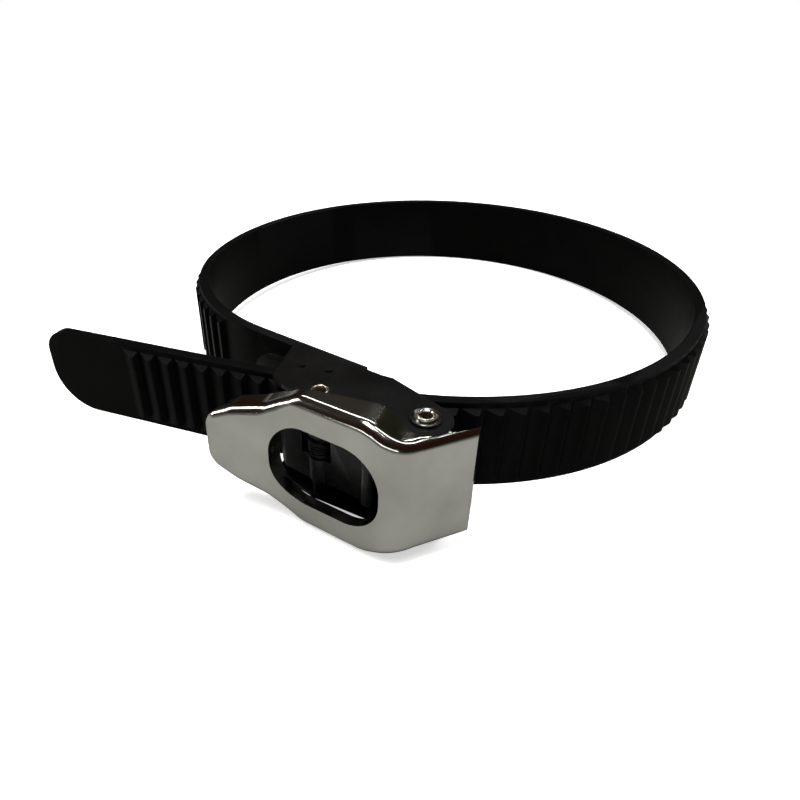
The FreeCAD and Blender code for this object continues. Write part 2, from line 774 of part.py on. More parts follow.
def make_lever():
    """Pressed lever: thin shell with skirts, plunged finger hole and two pivot lugs."""
    wall = size("lever_wall")
    bend = size("lever_bend_radius")
    back = -size("pivot_drop") + 8.6
    outer = lever_block(0.0, back, bend)
    inner = lever_block(wall, back + 4.0, bend - wall)
    collar = hole_tool(size("hole_collar_wall"), 0.3, size("hole_collar_depth"))
    hole = hole_tool(0.0, -5.0, 20.0)
    gap = size("ear_gap_half")
    cutout = cylinder(size("lever_cutout_radius"), -THROUGH, THROUGH, pivot())
    cutout = cutout.cut(cylinder(size("lever_cutout_radius") + 1.0, -gap, gap, pivot()))
    shell = outer.cut(inner).cut(lever_trim()).cut(cutout)
    lever = shell.fuse(collar).cut(hole)
    lug_high = gap - size("moving_gap")
    lug_low = lug_high - size("lug_thickness")
    for low, high in ((lug_low, lug_high), (-lug_high, -lug_low)):
        lever = lever.fuse(lever_lug(low, high))
    blank = formed("lever_blank", lever.removeSplitter())
    main = ("Sizes.pivot_place", "-Sizes.pivot_drop")
    pin = ("Sizes.drive_pin_x", "Sizes.drive_pin_y")
    tools = [
        through_hole("lever_main_bore", "Sizes.rivet_radius + Sizes.running_clearance", main),
        through_hole("lever_pin_bore", "Sizes.drive_pin_radius", pin),
    ]
    return cut_by("lever", blank, tools)


def drive_pin_place():
    """Drive pawl pin's axis in XY."""
    return polar(size("drive_pin_reach"), size("drive_pin_angle"), pivot())


def lever_lug(low, high):
    """Lug from the nose plate round the main pivot and out to the drive pawl's pin."""
    radius = size("lug_pivot_radius")
    boss = disc_hull(pivot(), radius, drive_pin_place(), size("drive_pin_radius") + 1.1, low, high)
    front = lever_front(size("lever_wall") * 0.5)
    along = (front[3] - front[2]).normalize()
    first = front[2] + along * 4.0
    second = front[3] - along * 5.5
    rim = [polar(radius, 40.0, pivot()), polar(radius, 200.0, pivot())]
    corners = [first, second, V(*rim[0], 0), V(*pivot(), 0), V(*rim[1], 0)]
    web = prism(Part.makePolygon(corners + corners[:1]), low, high)
    return boss.fuse(web)


# ---------------------------------------------------------------- pawls

def make_drive_pawl():
    """Drive pawl: two hubs on the lever's pin and a plate whose edge rides on the crests."""
    half = "Sizes.drive_pawl_half_width"
    notch = "Sizes.spring_notch_half"
    bearing = "Sizes.drive_pin_bearing"
    tip_bearing = bearing + " - Sizes.drive_blade_turn"
    hub = "Sizes.drive_hub_radius"
    corners = [
        polar_words("Sizes.drive_tip_radius", tip_bearing),
        polar_words("Sizes.drive_tip_radius + Sizes.drive_blade_depth", tip_bearing + " - 0.2"),
        polar_words("Sizes.drive_pin_distance + 0.9 * " + hub, bearing + " - 0.4"),
        polar_words("Sizes.drive_pin_distance - 0.75 * " + hub, bearing),
    ]
    pin = ("Sizes.drive_pin_x", "Sizes.drive_pin_y")
    main = ("Sizes.pivot_place", "-Sizes.pivot_drop")
    blade = bound_prism("drive_blade", corners, half)
    barrel = bound_cylinder("drive_barrel", hub, "-" + half, "2 * " + half, pin)
    body = joined("drive_pawl_body", [blade, barrel])
    reach = "Sizes.drive_pin_reach - %s + 3.1" % hub
    bore = "Sizes.drive_pin_radius + Sizes.running_clearance"
    tools = [
        bound_cylinder("drive_notch_main", reach, "-" + notch, "2 * " + notch, main),
        bound_cylinder("drive_notch_pin", "%s + %s" % (reach, hub), "-" + notch, "2 * " + notch, pin),
        through_hole("drive_pawl_bore", bore, pin),
    ]
    return cut_by("drive_pawl", body, tools)


def make_holding_pawl():
    """Holding pawl: hub on the sleeve, toothed edge in a valley and a release arm."""
    half = "Sizes.holding_pawl_half_width"
    hub = "Sizes.holding_hub_radius"
    centre = ("Sizes.pawl_place", "-Sizes.pawl_drop")
    tip = ("Sizes.arm_tip_x", "Sizes.arm_tip_y")
    edge = ("Sizes.claw_edge_x", "Sizes.claw_edge_y")
    claw = [
        edge,
        (edge[0] + " - 1.45 * Sizes.tooth_lean", edge[1] + " - 1.45 * Sizes.tooth_height"),
        (edge[0] + " + 1.0", edge[1] + " - 4.6"),
        polar_words(hub, "-140", centre),
        polar_words(hub, "110", centre),
        (edge[0] + " + 3.4", edge[1] + " - 2.3"),
    ]
    upper = "Sizes.arm_bearing + Sizes.arm_spread"
    lower = "Sizes.arm_bearing - Sizes.arm_spread"
    arm = [
        polar_words("Sizes.arm_root_radius", upper, centre),
        polar_words("Sizes.arm_tip_radius", upper, tip),
        polar_words("Sizes.arm_tip_radius", lower, tip),
        polar_words("Sizes.arm_root_radius", lower, centre),
    ]
    low = "-" + half
    length = "2 * " + half
    roll = (tip[0], tip[1] + " - Sizes.arm_roll_drop")
    body = joined("holding_pawl_body", [
        bound_prism("holding_claw", claw, half),
        bound_prism("holding_arm", arm, half),
        bound_cylinder("holding_barrel", hub, low, length, centre),
        bound_cylinder("holding_arm_tip", "Sizes.arm_tip_radius", low, length, tip),
        bound_cylinder("holding_arm_roll", "Sizes.arm_roll_radius", low, length, roll),
    ])
    notch = "(Sizes.spring_notch_half - 0.6)"
    tools = [
        bound_cylinder("holding_notch", hub + " + 1.6", "-" + notch, "2 * " + notch, centre),
        through_hole("holding_pawl_bore", "Sizes.sleeve_radius + Sizes.running_clearance", centre),
    ]
    return cut_by("holding_pawl", body, tools)


def make_spring(label, place, inside, leg_turn, leg_length):
    """Torsion spring: round wire wound about a sleeve with two straight legs."""
    wire = size("spring_wire")
    turns = size("spring_turns")
    mean = inside + wire / 2.0
    pitch = wire * 1.25
    height = pitch * turns
    helix = Part.makeLongHelix(pitch, height, mean, 0.0, False)
    helix.rotate(V(0, 0, 0), V(0, 0, 1), leg_turn)
    helix.translate(V(place[0], place[1], -height / 2.0))
    start = helix.Edges[0].valueAt(helix.Edges[0].FirstParameter)
    section = Part.Wire(Part.makeCircle(wire / 2.0, start, helix.Edges[0].tangentAt(
        helix.Edges[0].FirstParameter)))
    coil = Part.Wire(helix.Edges).makePipeShell([section], True, True)
    ends = [helix.Edges[0].tangentAt(helix.Edges[0].FirstParameter) * -1.0]
    last = helix.Edges[-1]
    ends.append(last.tangentAt(last.LastParameter))
    spots = [start, last.valueAt(last.LastParameter)]
    legs = []
    for spot, way in zip(spots, ends):
        way = V(way.x, way.y, 0).normalize()
        legs.append(Part.makeCylinder(wire / 2.0, leg_length, spot, way))
        legs.append(Part.makeSphere(wire / 2.0, spot))
    return finished(label, coil.multiFuse(legs))


# ---------------------------------------------------------------- assembly

def make_hardware():
    """Rivets, washers, sleeves and pins, turned about Z."""
    ear_outer = "(Sizes.ear_gap_half + Sizes.ear_thickness)"
    head = "Sizes.rivet_head_radius"
    head_thick = "Sizes.rivet_head_thickness"
    washer = "Sizes.washer_thickness"
    shank = "Sizes.rivet_radius"
    hole = "Sizes.rivet_hole_radius"
    main = ("Sizes.pivot_place", "-Sizes.pivot_drop")
    pawl = ("Sizes.pawl_place", "-Sizes.pawl_drop")
    reach = "(%s + %s)" % (ear_outer, washer)
    steps = [(shank, "-%s" % reach, "2 * %s" % reach)]
    steps += [(head, reach, head_thick), (head, "-%s - %s" % (reach, head_thick), head_thick)]
    turned_part("main_pivot_rivet", steps, main, bore=hole)
    steps = [(shank, "-%s" % ear_outer, "2 * %s" % ear_outer)]
    steps += [(head, ear_outer, head_thick), (head, "-%s - %s" % (ear_outer, head_thick), head_thick)]
    turned_part("holding_pawl_rivet", steps, pawl, bore=hole)
    turned_part("main_pivot_washer_top", [("Sizes.washer_radius", ear_outer, washer)], main, bore=shank)
    turned_part("main_pivot_washer_bottom",
                [("Sizes.washer_radius", "-%s" % reach, washer)], main, bore=shank)
    sleeve = "Sizes.sleeve_radius"
    sleeve_bore = "Sizes.rivet_radius + Sizes.running_clearance"
    gap = "Sizes.ear_gap_half"
    turned_part("holding_pawl_sleeve", [(sleeve, "-" + gap, "2 * " + gap)], pawl, bore=shank)
    lug = "(Sizes.ear_gap_half - 2 * Sizes.moving_gap - Sizes.lug_thickness)"
    turned_part("pivot_sleeve", [(sleeve, "-" + lug, "2 * " + lug)], main, bore=sleeve_bore)
    lug_outer = "(Sizes.ear_gap_half - Sizes.moving_gap)"
    pin = ("Sizes.drive_pin_x", "Sizes.drive_pin_y")
    steps = [("Sizes.drive_pin_radius", "-" + lug_outer, "2 * " + lug_outer)]
    turned_part("drive_pawl_pin", steps, pin)
    for end in ("rear", "front"):
        steps = [("Sizes.guide_pin_radius", "-%s" % ear_outer, "2 * %s" % ear_outer)]
        tips = ("Sizes.guide_pin_radius * 0.75", "-%s - 0.4" % ear_outer, "2 * %s + 0.8" % ear_outer)
        steps.append(tips)
        level = "-Sizes.loop_radius + Sizes.guide_pin_radius + 0.1"
        turned_part("guide_pin_" + end, steps, ("Sizes.guide_pin_%s_place" % end, level))
        make_strap_rivet(end)


def make_strap_rivet(end):
    """Rivet through the pad and the floor with a low head in the pad and a washer on the floor."""
    thick = size("strap_thickness")
    floor = size("floor_thickness")
    place = chord_placement(size("strap_rivet_%s_place" % end), -thick)
    grip = "Sizes.strap_thickness + Sizes.floor_thickness"
    seat = "Sizes.rivet_seat_depth"
    shank = ("Sizes.strap_rivet_radius", seat, "%s + 0.8 - %s" % (grip, seat))
    low_head = ("Sizes.strap_rivet_head_radius", "0.05", seat + " - 0.05")
    top_head = ("Sizes.strap_rivet_radius * 1.5", grip + " + 0.6", "0.7")
    turned_part("strap_rivet_" + end, [shank, low_head, top_head], None, tilt=place)
    washer = chord_placement(size("strap_rivet_%s_place" % end), floor)
    steps = [("Sizes.strap_rivet_head_radius", "0", "0.6")]
    turned_part("strap_rivet_washer_" + end, steps, None, bore="Sizes.strap_rivet_radius", tilt=washer)


def check_parts():
    """Stop if any object failed or any sub-part has no valid solid."""
    for item in doc.Objects:
        if "Invalid" in item.State or "Error" in item.State:
            raise RuntimeError("failed object: %s %s" % (item.Name, item.State))
    for part in parts:
        if part.Shape.isNull() or not part.Shape.isValid() or len(part.Shape.Solids) != 1:
            raise RuntimeError("bad shape: " + part.Label)
        if part.Shape.Volume < SMALLEST_VOLUME:
            raise RuntimeError("almost nothing left of " + part.Label)


doc = FreeCAD.newDocument("ladder_strap_buckle")
sheet = fill_sheet(doc)
parts = []
make_strap()
make_base()
make_lever()
make_drive_pawl()
make_holding_pawl()
spring_inside = size("sleeve_radius") + 3 * size("running_clearance")
make_spring("drive_pawl_spring", pivot(), spring_inside, 208.0, 3.0)
make_spring("holding_pawl_spring", pawl_pivot(), spring_inside, 262.0, 3.0)
make_hardware()
doc.recompute()
check_parts()
os.makedirs("parts", exist_ok=True)
for part in parts:
    part.Shape.exportStep(os.path.join("parts", part.Label + ".step"))
    box = part.Shape.BoundBox
    print("%-26s solids %d volume %9.1f  x %.1f %.1f y %.1f %.1f z %.1f %.1f" % (
        part.Label, len(part.Shape.Solids), part.Shape.Volume,
        box.XMin, box.XMax, box.YMin, box.YMax, box.ZMin, box.ZMax))
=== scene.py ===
import json
import logging
import math
from dataclasses import dataclass
from enum import Enum
from typing import Optional, Sequence

import bmesh
import bpy
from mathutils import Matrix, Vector

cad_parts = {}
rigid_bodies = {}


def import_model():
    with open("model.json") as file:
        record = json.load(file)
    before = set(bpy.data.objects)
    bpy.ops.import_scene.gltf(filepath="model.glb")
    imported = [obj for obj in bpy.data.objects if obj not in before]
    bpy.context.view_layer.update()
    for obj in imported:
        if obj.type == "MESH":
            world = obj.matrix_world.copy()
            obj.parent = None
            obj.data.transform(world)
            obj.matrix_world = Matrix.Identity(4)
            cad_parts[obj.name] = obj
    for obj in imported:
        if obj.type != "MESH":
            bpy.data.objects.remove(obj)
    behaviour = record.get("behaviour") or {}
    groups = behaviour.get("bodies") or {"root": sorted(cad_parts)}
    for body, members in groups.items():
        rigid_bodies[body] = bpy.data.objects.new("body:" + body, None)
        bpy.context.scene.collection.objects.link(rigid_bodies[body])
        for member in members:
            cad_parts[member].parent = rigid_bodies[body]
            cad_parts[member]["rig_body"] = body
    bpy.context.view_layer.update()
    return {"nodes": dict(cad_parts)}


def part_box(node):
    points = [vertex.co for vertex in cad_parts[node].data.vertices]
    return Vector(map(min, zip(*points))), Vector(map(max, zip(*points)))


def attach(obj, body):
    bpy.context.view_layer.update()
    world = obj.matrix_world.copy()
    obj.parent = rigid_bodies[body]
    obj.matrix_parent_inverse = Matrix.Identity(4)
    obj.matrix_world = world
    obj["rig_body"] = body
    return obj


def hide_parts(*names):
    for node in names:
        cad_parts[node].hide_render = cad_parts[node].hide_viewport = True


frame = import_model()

MM = 0.001
LOG = logging.getLogger("ladder_strap_buckle")

# A colour Mix node carries a factor, two colours in and one out at these places.
MIX_FACTOR = 0
MIX_FIRST = 6
MIX_SECOND = 7
MIX_OUT = 2

Point = tuple[float, float, float]


class Side(Enum):
    """Which way along the loop's axis an outer face looks."""

    UP = 1
    DOWN = -1


# ------------------------------------------------------------------ small helpers


def linear(hex_colour: str) -> tuple[float, float, float, float]:
    """Turn an sRGB hex colour into linear RGBA.

    Args:
        hex_colour: six hex digits.

    Returns:
        The colour as four linear numbers.
    """
    parts = [int(hex_colour[i:i + 2], 16) / 255 for i in (0, 2, 4)]
    values = [c / 12.92 if c <= 0.04045 else ((c + 0.055) / 1.055) ** 2.4 for c in parts]
    return (values[0], values[1], values[2], 1.0)


def add_node(tree: bpy.types.NodeTree, kind: str, settings: Optional[dict] = None,
             links: Optional[dict] = None) -> bpy.types.Node:
    """Add a shader node with its settings and incoming links.

    Args:
        tree: the node tree.
        kind: the node's type name.
        settings: attribute or input names with their values.
        links: input names, or places, with the output sockets they take.

    Returns:
        The new node.
    """
    node = tree.nodes.new(kind)
    for name, value in (settings or {}).items():
        if name in node.inputs:
            node.inputs[name].default_value = value
        else:
            setattr(node, name, value)
    for name, socket in (links or {}).items():
        tree.links.new(socket, node.inputs[name])
    return node


def spread(ramp: bpy.types.Node, low: float, high: float) -> None:
    """Place a ramp's two stops.

    Args:
        ramp: a ColorRamp node.
        low: place of the black stop.
        high: place of the white stop.
    """
    ramp.color_ramp.elements[0].position = low
    ramp.color_ramp.elements[1].position = high


# ------------------------------------------------------------------ finishes


@dataclass(frozen=True)
class Finish:
    """A surface: its colours, gloss and fine relief, all on Object coordinates.

    The grain and blotch sizes are real millimetres, so a pattern keeps its scale.
    """

    name: str
    colour: str
    second: str
    metallic: float = 0.0
    roughness: float = 0.4
    roughness_swing: float = 0.08
    grain_mm: float = 0.4
    grain_depth_mm: float = 0.01
    blotch_mm: float = 9.0
    # A lighter colour painted on outward edges as a highlight; empty for none.
    edge_highlight_colour: str = ""
    coat: float = 0.0
    coat_roughness: float = 0.12
    specular: float = 0.5
    stretch: Point = (1.0, 1.0, 1.0)
    blotch_detail: float = 5.0
    grain_detail: float = 3.0
    blotch_band: tuple[float, float] = (0.35, 0.68)
    # Pointiness stops where the painted edge highlight starts and where it is full.
    edge_highlight_band: tuple[float, float] = (0.53, 0.62)
    bump_strength: float = 0.6

    def material(self) -> bpy.types.Material:
        """Build the finish as a node material.

        Returns:
            The material.
        """
        made = bpy.data.materials.new(self.name)
        made.use_nodes = True
        tree = made.node_tree
        shader = tree.nodes["Principled BSDF"]
        shader.inputs["Metallic"].default_value = self.metallic
        shader.inputs["Coat Weight"].default_value = self.coat
        shader.inputs["Specular IOR Level"].default_value = self.specular
        shader.inputs["Coat Roughness"].default_value = self.coat_roughness
        place = add_node(tree, "ShaderNodeTexCoord").outputs["Object"]
        mapped = add_node(tree, "ShaderNodeMapping", {"Scale": self.stretch}, {"Vector": place})
        blotch = add_node(tree, "ShaderNodeTexNoise",
                          {"Scale": 1 / (self.blotch_mm * MM), "Detail": self.blotch_detail},
                          {"Vector": mapped.outputs["Vector"]})
        grain = add_node(tree, "ShaderNodeTexNoise",
                         {"Scale": 1 / (self.grain_mm * MM), "Detail": self.grain_detail},
                         {"Vector": mapped.outputs["Vector"]})
        tone = add_node(tree, "ShaderNodeMix", {"data_type": "RGBA"})
        tone.inputs[MIX_FIRST].default_value = linear(self.colour)
        tone.inputs[MIX_SECOND].default_value = linear(self.second)
        patches = add_node(tree, "ShaderNodeValToRGB", {}, {"Fac": blotch.outputs["Fac"]})
        spread(patches, *self.blotch_band)
        tree.links.new(patches.outputs["Color"], tone.inputs[MIX_FACTOR])
        colour = tone.outputs[MIX_OUT]
        # Outward edges get a painted highlight colour.
        if self.edge_highlight_colour:
            colour = self.painted_edge_highlight(tree, colour, grain.outputs["Fac"])
        tree.links.new(colour, shader.inputs["Base Color"])
        gloss = add_node(tree, "ShaderNodeMapRange", {
            "To Min": self.roughness - self.roughness_swing,
            "To Max": self.roughness + self.roughness_swing}, {"Value": blotch.outputs["Fac"]})
        tree.links.new(gloss.outputs["Result"], shader.inputs["Roughness"])
        relief = add_node(tree, "ShaderNodeBump",
                          {"Strength": self.bump_strength, "Distance": self.grain_depth_mm * MM},
                          {"Height": grain.outputs["Fac"]})
        tree.links.new(relief.outputs["Normal"], shader.inputs["Normal"])
        return made

    def painted_edge_highlight(self, tree: bpy.types.NodeTree, colour: bpy.types.NodeSocket,
                   grain: bpy.types.NodeSocket) -> bpy.types.NodeSocket:
        """Lighten outward edges a little: a painted highlight where the edges catch the light.

        Args:
            tree: the material's tree.
            colour: the colour before the painted edge highlight.
            grain: the fine noise that breaks the painted highlight up.

        Returns:
            The socket of the colour with its painted edge highlight.
        """
        pointed = add_node(tree, "ShaderNodeNewGeometry").outputs["Pointiness"]
        ramp = add_node(tree, "ShaderNodeValToRGB", {}, {"Fac": pointed})
        spread(ramp, *self.edge_highlight_band)
        highlight_mask = add_node(tree, "ShaderNodeMath", {"operation": "MULTIPLY"},
                          {0: ramp.outputs["Color"], 1: grain})
        highlighted = add_node(tree, "ShaderNodeMix", {"data_type": "RGBA"})
        highlighted.inputs[MIX_SECOND].default_value = linear(self.edge_highlight_colour)
        tree.links.new(colour, highlighted.inputs[MIX_FIRST])
        tree.links.new(highlight_mask.outputs[0], highlighted.inputs[MIX_FACTOR])
        return highlighted.outputs[MIX_OUT]


# Moulded thermoplastic polyurethane: satin black, a faint mould grain, its outward edges painted a little
# greyer as a highlight.
STRAP_BLACK = Finish("moulded_polyurethane", "030303", "060606", roughness=0.38, roughness_swing=0.06,
                     grain_mm=0.5, grain_depth_mm=0.012, edge_highlight_colour="161617", specular=0.04)
# Gloss black enamel baked on pressed steel: a smooth, wet-looking coat, its outward edges painted a little
# greyer as a highlight.
ENAMEL_BLACK = Finish("baked_black_enamel", "050505", "080808", roughness=0.24, roughness_swing=0.05,
                      grain_mm=1.4, grain_depth_mm=0.01, coat=0.05, edge_highlight_colour="161617", specular=0.3)
# Bright chrome plate over polished steel: a mirror, with faint polishing haze.
CHROME = Finish("bright_chrome_plate", "cfcfca", "bdbdb8", metallic=1.0, roughness=0.14,
                roughness_swing=0.04, grain_mm=2.2, grain_depth_mm=0.011, blotch_mm=14.0)
# Nickel plate on a drawn tube rivet: warm, softly bright.
NICKEL = Finish("nickel_plated_rivet", "e6dfd0", "c9bda6", metallic=1.0, roughness=0.26,
                grain_mm=0.35, grain_depth_mm=0.006, blotch_mm=1.6)
# Black nickel on a pressed washer: grey with a soft shine.
BLACK_NICKEL = Finish("black_nickel_washer", "8a8a88", "6a6a68", metallic=1.0, roughness=0.24,
                      grain_mm=0.5, grain_depth_mm=0.008, blotch_mm=2.0)
# Black oxide on a blanked steel pawl: near-black metal with an oiled sheen.
BLACK_OXIDE = Finish("black_oxide_pawl", "1a1a1b", "262627", metallic=0.8, roughness=0.36,
                     grain_mm=0.4, grain_depth_mm=0.01, blotch_mm=3.0)
# Phosphated steel of the holding pawl: dark with a satin sheen, its outward edges painted brighter as a
# highlight.
PHOSPHATE = Finish("phosphated_pawl", "232324", "303032", metallic=0.7, roughness=0.34,
                   grain_mm=0.3, grain_depth_mm=0.01, blotch_mm=3.0, edge_highlight_colour="6a6a6c")
# Oil-blackened spring wire with a fine draw line.
SPRING_WIRE = Finish("oil_black_spring_wire", "1c1c1d", "2b2b2c", metallic=0.9, roughness=0.32,
                     grain_mm=0.25, grain_depth_mm=0.005, blotch_mm=1.0)
# Blackened free-turned steel of the spacer sleeves: round tool marks.
TURNED = Finish("blackened_turned_steel", "202021", "2c2c2d", metallic=0.8, roughness=0.34,
                grain_mm=0.3, grain_depth_mm=0.01, blotch_mm=1.5, stretch=(1.0, 1.0, 6.0))

NODE_FINISHES = {
    "ladder_strap": STRAP_BLACK,
    "base_frame": ENAMEL_BLACK,
    "lever": CHROME,
    "drive_pawl": BLACK_OXIDE,
    "holding_pawl": PHOSPHATE,
    "drive_pawl_spring": SPRING_WIRE,
    "holding_pawl_spring": SPRING_WIRE,
    "main_pivot_rivet": NICKEL,
    "holding_pawl_rivet": NICKEL,
    "main_pivot_washer_top": BLACK_NICKEL,
    "main_pivot_washer_bottom": BLACK_NICKEL,
    "holding_pawl_sleeve": TURNED,
    "pivot_sleeve": TURNED,
    "drive_pawl_pin": BLACK_OXIDE,
    "guide_pin_rear": ENAMEL_BLACK,
    "guide_pin_front": ENAMEL_BLACK,
    "strap_rivet_rear": NICKEL,
    "strap_rivet_front": NICKEL,
    "strap_rivet_washer_rear": BLACK_NICKEL,
    "strap_rivet_washer_front": BLACK_NICKEL,
}


class Wardrobe:
    """Builds each finish once and dresses CAD nodes and new pieces with it."""

    def __init__(self) -> None:
        """Start with no material made."""
        self.made: dict[str, bpy.types.Material] = {}

    def material(self, finish: Finish) -> bpy.types.Material:
        """Return the finish's material, made on first use.

        Args:
            finish: the finish.

        Returns:
            Its material.
        """
        if finish.name not in self.made:
            self.made[finish.name] = finish.material()
        return self.made[finish.name]

    def dress(self, piece: bpy.types.Object, finish: Finish) -> None:
        """Give a piece one finish all over.

        Args:
            piece: the object.
            finish: its finish.
        """
        piece.data.materials.clear()
        piece.data.materials.append(self.material(finish))

    def dress_nodes(self) -> None:
        """Dress every CAD node."""
        for name, finish in NODE_FINISHES.items():
            self.dress(frame["nodes"][name], finish)
            LOG.info("dressed %s", name)


# ------------------------------------------------------------------ pieces

# Above 50, the larger faces lead the shading over the narrow rounds between them.
EVEN_SHADING_WEIGHT = 80
# Points closer than this are one point.
JOIN_MM = 0.0005


def finish_piece(shape: bmesh.types.BMesh, node: str, smooth_deg: float) -> bpy.types.Object:
    """Turn a bmesh into the piece that stands for one CAD node.

    Args:
        shape: the piece's bmesh, freed here.
        node: the CAD node that it stands for.
        smooth_deg: edges sharper than this stay sharp.

    Returns:
        The piece, riding on the node's body.
    """
    mesh = bpy.data.meshes.new(node + "_shown")
    shape.to_mesh(mesh)
    shape.free()
    mesh.polygons.foreach_set("use_smooth", [True] * len(mesh.polygons))
    mesh.set_sharp_from_angle(angle=math.radians(smooth_deg))
    piece = bpy.data.objects.new(node + "_shown", mesh)
    bpy.context.scene.collection.objects.link(piece)
    even = piece.modifiers.new("even_shading", "WEIGHTED_NORMAL")
    even.keep_sharp = True
    even.weight = EVEN_SHADING_WEIGHT
    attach(piece, frame["nodes"][node]["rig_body"])
    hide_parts(node)
    return piece


@dataclass
class SoftEdges:
    """Pressed and moulded pieces with every hard edge broken by a small round."""

    wardrobe: Wardrobe
    flat_deg: float = 0.3
    hard_deg: float = 28.0
    smooth_deg: float = 50.0
    segments: int = 2

    def copy(self, node: str, slot: str, width_mm: float) -> bpy.types.Object:
        """Copy a CAD node with its hard edges rounded.

        Args:
            node: the CAD node.
            slot: the record's material slot; not used.
            width_mm: the round's width.

        Returns:
            The copy, dressed in the node's finish.
        """
        shape = bmesh.new()
        shape.from_mesh(frame["nodes"][node].data)
        bmesh.ops.remove_doubles(shape, verts=shape.verts, dist=JOIN_MM * MM)
        bmesh.ops.dissolve_limit(shape, angle_limit=math.radians(self.flat_deg), verts=shape.verts,
                                 edges=shape.edges)
        limit = math.radians(self.hard_deg)
        hard = [edge for edge in shape.edges if edge.is_manifold and edge.calc_face_angle(0.0) > limit]
        bmesh.ops.bevel(shape, geom=hard, offset=width_mm * MM, offset_type="OFFSET",
                        segments=self.segments, profile=0.5, affect="EDGES", clamp_overlap=True,
                        material=-1)
        bmesh.ops.recalc_face_normals(shape, faces=shape.faces)
        LOG.info("%s: %d hard edges rounded", node, len(hard))
        piece = finish_piece(shape, node, self.smooth_deg)
        self.wardrobe.dress(piece, NODE_FINISHES[node])
        return piece

    def build(self) -> None:
        """Copy the strap, the base, the lever and both pawls."""
        self.copy("ladder_strap", "strap_black", width_mm=0.16)
        self.copy("base_frame", "base_black", width_mm=0.2)
        self.copy("lever", "lever_chrome", width_mm=0.42)
        self.copy("drive_pawl", "pawl_steel", width_mm=0.12)
        self.copy("holding_pawl", "pawl_black", width_mm=0.15)


@dataclass
class Turnings:
    """Rolled tube rivets and grooved washers, turned about their own axes."""

    wardrobe: Wardrobe
    steps: int = 72
    lip_steps: int = 10
    bore_mm: float = 1.45
    shank_mm: float = 1.9
    head_mm: float = 0.6
    bore_depth_mm: float = 1.3
    bore_lip_mm: float = 0.1
    head_chamfer_mm: float = 0.06
    shank_gap_mm: float = 0.01
    smooth_deg: float = 42.0

    def turn(self, node: str, slot: str, outline: Sequence[tuple[float, float]]) -> bpy.types.Object:
        """Spin a closed outline about a CAD node's own axis.

        Args:
            node: the CAD node that it stands for.
            slot: the record's material slot; not used.
            outline: radius and height in millimetres, the height in the shared frame.

        Returns:
            The turned piece, dressed in the node's finish.
        """
        low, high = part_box(node)
        centre = Vector(((low.x + high.x) / 2, (low.y + high.y) / 2, 0.0))
        shape = bmesh.new()
        spots = [shape.verts.new(centre + Vector((radius, 0.0, height)) * MM) for radius, height in outline]
        edges = [shape.edges.new((a, b)) for a, b in zip(spots, spots[1:] + spots[:1])]
        bmesh.ops.spin(shape, geom=spots + edges, cent=centre, axis=(0, 0, 1), angle=2 * math.pi,
                       steps=self.steps, use_merge=True)
        bmesh.ops.remove_doubles(shape, verts=shape.verts, dist=JOIN_MM * MM)
        bmesh.ops.recalc_face_normals(shape, faces=shape.faces)
        piece = finish_piece(shape, node, self.smooth_deg)
        self.wardrobe.dress(piece, NODE_FINISHES[node])
        return piece

    def rolled_end(self, head: float, height: float, side: Side) -> list[tuple[float, float]]:
        """Outline of one rolled end, from the bore over the lip to the shank.

        Args:
            head: the head's radius in millimetres.
            height: the end's height in millimetres.
            side: which way the end looks.

        Returns:
            Radius and height pairs.
        """
        way = side.value
        bulge = (head - self.bore_mm - self.bore_lip_mm) / 2
        middle = head - bulge
        points = [(self.bore_mm, height - way * self.bore_depth_mm)]
        for step in range(self.lip_steps + 1):
            turn = math.pi * (1 - step / self.lip_steps)
            lift = bulge * (math.sin(turn) - 1)
            points.append((middle + bulge * math.cos(turn), height + way * lift))
        points.append((head - self.head_chamfer_mm, height - way * self.head_mm))
        points.append((self.shank_mm, height - way * self.head_mm))
        return points

    def rivet(self, node: str) -> None:
        """Make one tube rivet with both ends rolled outwards.

        Args:
            node: the CAD rivet.
        """
        low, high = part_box(node)
        head = (high.x - low.x) / 2 / MM
        upper = self.rolled_end(head, high.z / MM, Side.UP)
        lower = self.rolled_end(head, low.z / MM, Side.DOWN)
        self.turn(node, "rivet_steel", upper + list(reversed(lower)))

    def washer(self, node: str, side: Side) -> None:
        """Make one washer with a raised rim and a groove round the rivet's head.

        Args:
            node: the CAD washer.
            side: which way its outer face looks.
        """
        low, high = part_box(node)
        rim = (high.x - low.x) / 2 / MM
        base = (low.z if side is Side.UP else high.z) / MM
        thick = (high.z - low.z) / MM
        eye = self.shank_mm + self.shank_gap_mm
        # Radius, and share of the thickness: the flat seat, the rounded rim, the groove, the inner land.
        shares = [(eye, 0.0), (rim - 0.1, 0.0), (rim, 0.15), (rim, 0.6),
                  (rim - 0.1, 0.9), (rim - 0.3, 1.0), (rim - 0.5, 0.86), (rim - 0.75, 0.58),
                  (rim - 1.0, 0.55), (rim - 1.2, 0.75), (rim - 1.35, 1.0), (eye, 1.0)]
        self.turn(node, "washer_steel", [(radius, base + side.value * thick * share)
                                         for radius, share in shares])

    def build(self) -> None:
        """Make both tube rivets and both washers."""
        self.rivet("main_pivot_rivet")
        self.rivet("holding_pawl_rivet")
        self.washer("main_pivot_washer_top", Side.UP)
        self.washer("main_pivot_washer_bottom", Side.DOWN)


# ------------------------------------------------------------------ studio


@dataclass(frozen=True)
class Panel:
    """One soft panel light, in millimetres and watts.

    It faces the point aim, and shiny pieces show it only if it is mirrored.
    """

    name: str
    place: Point
    size: tuple[float, float]
    power: float
    aim: Point = (0, 0, 0)
    mirrored: bool = True


